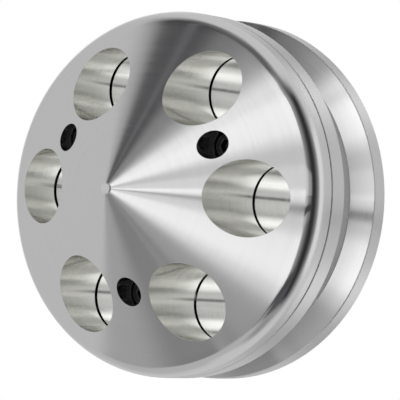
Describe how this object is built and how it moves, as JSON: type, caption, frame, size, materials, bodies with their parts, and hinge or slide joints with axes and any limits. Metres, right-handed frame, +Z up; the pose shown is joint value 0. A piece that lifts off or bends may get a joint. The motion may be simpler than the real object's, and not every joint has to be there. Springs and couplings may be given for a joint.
{
  "type": "supercharger belt idler pulley",
  "caption": "Flanged billet aluminium idler pulley with a pointed conical nose cover and a ring of large through holes, on sealed ball bearings and a rear mounting bolt.",
  "frame": {"origin": "on the spin axis, in the rear face of the standoff, where the bracket touches it", "axes": "-Y out of the pointed nose, +Y along the bolt into the engine, +Z up, +X to the right as seen from the nose"},
  "size_m": [0.0762, 0.0708, 0.0762],
  "materials": {
    "turned_aluminium": "bare billet aluminium, fine-turned to a satin shine",
    "black_oxide_steel": "black oxide, slightly oily",
    "machined_steel": "turned steel",
    "zinc_plated_steel": "clear zinc plating",
    "bearing_steel": "ground bearing steel",
    "bearing_ball_steel": "polished balls",
    "cage_polymer": "moulded nylon cage",
    "seal_rubber": "moulded rubber seal"
  },
  "bodies": {
    "spindle": {"mounting_bolt": "zinc_plated_steel", "lock_washer": "zinc_plated_steel", "flat_washer": "zinc_plated_steel", "front_spacer": "machined_steel", "inner_spacer": "machined_steel", "rear_standoff": "machined_steel", "front_bearing_inner_race": "bearing_steel", "rear_bearing_inner_race": "bearing_steel"},
    "pulley": {"nose_cover": "turned_aluminium", "pulley_body": "turned_aluminium", "cover_screw_1": "black_oxide_steel", "cover_screw_2": "black_oxide_steel", "cover_screw_3": "black_oxide_steel", "retaining_ring": "black_oxide_steel", "outer_spacer": "machined_steel", "front_bearing_outer_race": "bearing_steel", "front_bearing_front_seal": "seal_rubber", "front_bearing_rear_seal": "seal_rubber", "rear_bearing_outer_race": "bearing_steel", "rear_bearing_front_seal": "seal_rubber", "rear_bearing_rear_seal": "seal_rubber"},
    "front_cage": {"front_bearing_cage": "cage_polymer", "front_bearing_balls": "bearing_ball_steel"},
    "rear_cage": {"rear_bearing_cage": "cage_polymer", "rear_bearing_balls": "bearing_ball_steel"}
  },
  "joints": [
    {"name": "pulley_spin", "type": "hinge", "parent": "spindle", "child": "pulley", "pos_m": [0, -0.017, 0], "axis": [0, -1, 0], "continuous": true},
    {"name": "front_cage_orbit", "type": "hinge", "parent": "spindle", "child": "front_cage", "pos_m": [0, -0.02456, 0], "axis": [0, -1, 0], "continuous": true},
    {"name": "rear_cage_orbit", "type": "hinge", "parent": "spindle", "child": "rear_cage", "pos_m": [0, -0.01142, 0], "axis": [0, -1, 0], "continuous": true}
  ],
  "couplings": [
    {"joint": "front_cage_orbit", "follows": "pulley_spin", "ratio": 0.625},
    {"joint": "rear_cage_orbit", "follows": "pulley_spin", "ratio": 0.625}
  ]
}
